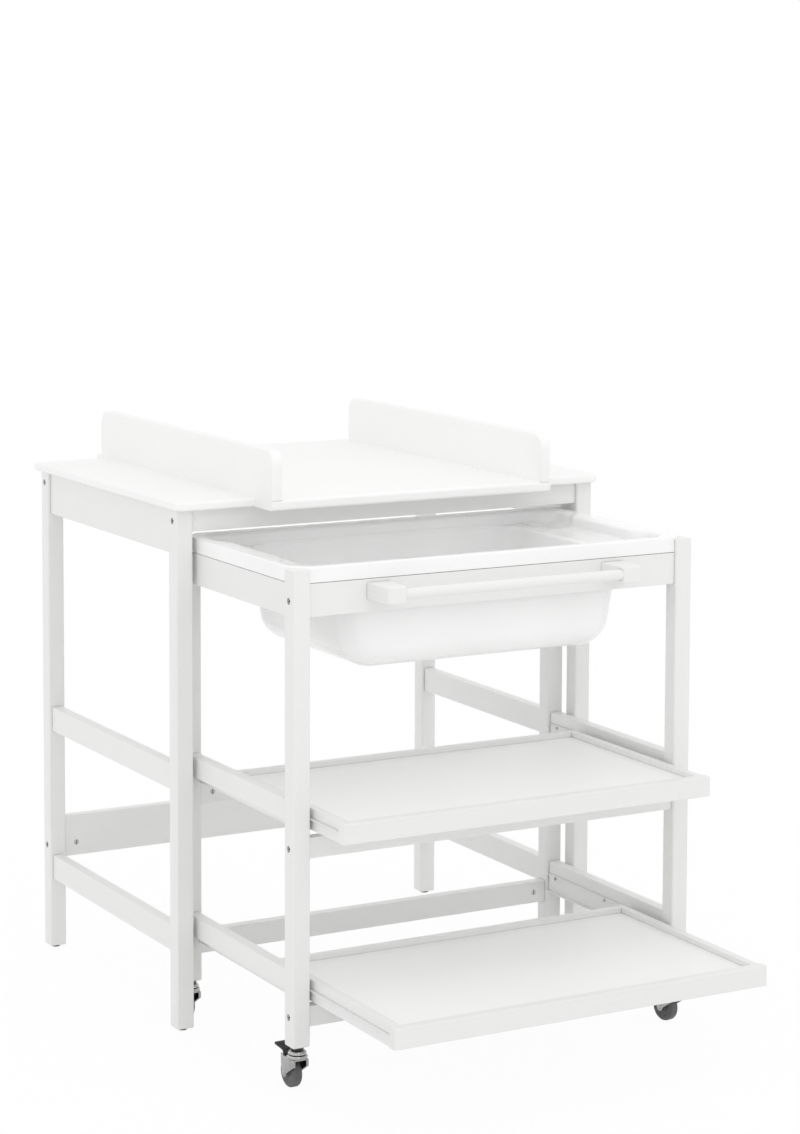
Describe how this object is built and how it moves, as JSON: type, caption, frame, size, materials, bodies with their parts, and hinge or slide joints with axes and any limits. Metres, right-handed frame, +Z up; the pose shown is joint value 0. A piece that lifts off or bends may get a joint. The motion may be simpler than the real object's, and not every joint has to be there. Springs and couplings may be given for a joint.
{
  "type": "changing table with bathtub",
  "caption": "White wooden changing table with side boards over a roll-out bath trolley with a tub, handle, casters and pull-out shelves.",
  "frame": {"origin": "centre of the whole object's bounding box, on the floor, with the trolley and shelves pulled out as in the rest pose", "axes": "+Z up, +X to the right of someone who stands at the handle, -Y towards that person"},
  "size_m": [0.856, 1.328, 1.019],
  "materials": {
    "white_wood": "satin white lacquer",
    "white_top": "satin white lacquer on board",
    "tub_plastic": "gloss white",
    "slide_steel": "white powder coat",
    "bolt_steel": "zinc plated",
    "dowel_wood": "bare beech",
    "glide_plastic": "matt",
    "caster_chrome": "bright",
    "wheel_grey": "satin grey",
    "lever_grey": "matt dark grey"
  },
  "bodies": {
    "table": {"table_leg_front_left": "white_wood", "table_leg_front_right": "white_wood", "table_leg_rear_left": "white_wood", "table_leg_rear_right": "white_wood", "table_side_aprons": "white_wood", "table_mid_side_rails": "white_wood", "table_low_side_rails": "white_wood", "table_front_apron": "white_wood", "table_rear_apron": "white_wood", "table_rear_rail": "white_wood", "worktop_left": "white_top", "worktop_right": "white_top", "changing_panel": "white_top", "side_board_left": "white_wood", "side_board_right": "white_wood", "table_bolts": "bolt_steel", "table_barrel_nuts": "bolt_steel", "table_dowels": "dowel_wood", "foot_glides": "glide_plastic"},
    "trolley": {"trolley_leg_front_left": "white_wood", "trolley_leg_front_right": "white_wood", "trolley_leg_rear_left": "white_wood", "trolley_leg_rear_right": "white_wood", "trolley_side_aprons": "white_wood", "trolley_mid_side_rails": "white_wood", "trolley_low_side_rails": "white_wood", "trolley_front_apron": "white_wood", "trolley_rear_apron": "white_wood", "trolley_front_mid_rail": "white_wood", "trolley_front_low_rail": "white_wood", "trolley_rear_mid_rail": "white_wood", "trolley_rear_low_rail": "white_wood", "bathtub": "tub_plastic", "handle_rod": "white_wood", "handle_brackets": "white_wood", "trolley_bolts": "bolt_steel", "trolley_barrel_nuts": "bolt_steel", "trolley_dowels": "dowel_wood", "slide_tracks": "slide_steel", "track_rollers": "slide_steel", "slide_screws": "bolt_steel", "caster_stems": "caster_chrome"},
    "mid_shelf": {"mid_shelf_front": "white_wood", "mid_shelf_rim": "white_wood", "mid_shelf_floor": "white_top", "mid_shelf_runners": "slide_steel"},
    "low_shelf": {"low_shelf_front": "white_wood", "low_shelf_rim": "white_wood", "low_shelf_floor": "white_top", "low_shelf_runners": "slide_steel"},
    "caster_front_left": {"caster_fork_front_left": "caster_chrome"},
    "wheel_front_left": {"caster_wheel_front_left": "wheel_grey"},
    "brake_front_left": {"brake_lever_front_left": "lever_grey"},
    "caster_front_right": {"caster_fork_front_right": "caster_chrome"},
    "wheel_front_right": {"caster_wheel_front_right": "wheel_grey"},
    "brake_front_right": {"brake_lever_front_right": "lever_grey"},
    "caster_rear_left": {"caster_fork_rear_left": "caster_chrome"},
    "wheel_rear_left": {"caster_wheel_rear_left": "wheel_grey"},
    "caster_rear_right": {"caster_fork_rear_right": "caster_chrome"},
    "wheel_rear_right": {"caster_wheel_rear_right": "wheel_grey"}
  },
  "joints": [
    {"name": "trolley_roll_out", "type": "slide", "parent": "table", "child": "trolley", "axis": [0, 1, 0], "range_m": [-0.4, 0.374]},
    {"name": "mid_shelf_pull", "type": "slide", "parent": "trolley", "child": "mid_shelf", "axis": [0, -1, 0], "range_m": [-0.104, 0.216]},
    {"name": "low_shelf_pull", "type": "slide", "parent": "trolley", "child": "low_shelf", "axis": [0, -1, 0], "range_m": [-0.274, 0.046]},
    {"name": "swivel_front_left", "type": "hinge", "parent": "trolley", "child": "caster_front_left", "pos_m": [-0.371, -0.366, 0.056], "axis": [0, 0, 1], "continuous": true},
    {"name": "spin_front_left", "type": "hinge", "parent": "caster_front_left", "child": "wheel_front_left", "pos_m": [-0.37135, -0.346, 0.025], "axis": [0.9998, 0.0175, 0], "continuous": true},
    {"name": "brake_front_left_press", "type": "hinge", "parent": "caster_front_left", "child": "brake_front_left", "pos_m": [-0.37149, -0.338, 0.054], "axis": [-0.9998, -0.0175, 0], "range_deg": [0, 15]},
    {"name": "swivel_front_right", "type": "hinge", "parent": "trolley", "child": "caster_front_right", "pos_m": [0.371, -0.366, 0.056], "axis": [0, 0, 1], "continuous": true},
    {"name": "spin_front_right", "type": "hinge", "parent": "caster_front_right", "child": "wheel_front_right", "pos_m": [0.36822, -0.34619, 0.025], "axis": [0.9903, 0.1392, 0], "continuous": true},
    {"name": "brake_front_right_press", "type": "hinge", "parent": "caster_front_right", "child": "brake_front_right", "pos_m": [0.3671, -0.33827, 0.054], "axis": [-0.9903, -0.1392, 0], "range_deg": [0, 15]},
    {"name": "swivel_rear_left", "type": "hinge", "parent": "trolley", "child": "caster_rear_left", "pos_m": [-0.371, 0.048, 0.056], "axis": [0, 0, 1], "range_deg": [-180, 95]},
    {"name": "spin_rear_left", "type": "hinge", "parent": "caster_rear_left", "child": "wheel_rear_left", "pos_m": [-0.37205, 0.06797, 0.025], "axis": [0.9986, 0.0523, 0], "continuous": true},
    {"name": "swivel_rear_right", "type": "hinge", "parent": "trolley", "child": "caster_rear_right", "pos_m": [0.371, 0.048, 0.056], "axis": [0, 0, 1], "range_deg": [-95, 180]},
    {"name": "spin_rear_right", "type": "hinge", "parent": "caster_rear_right", "child": "wheel_rear_right", "pos_m": [0.37205, 0.06797, 0.025], "axis": [0.9986, -0.0523, 0], "continuous": true}
  ]
}
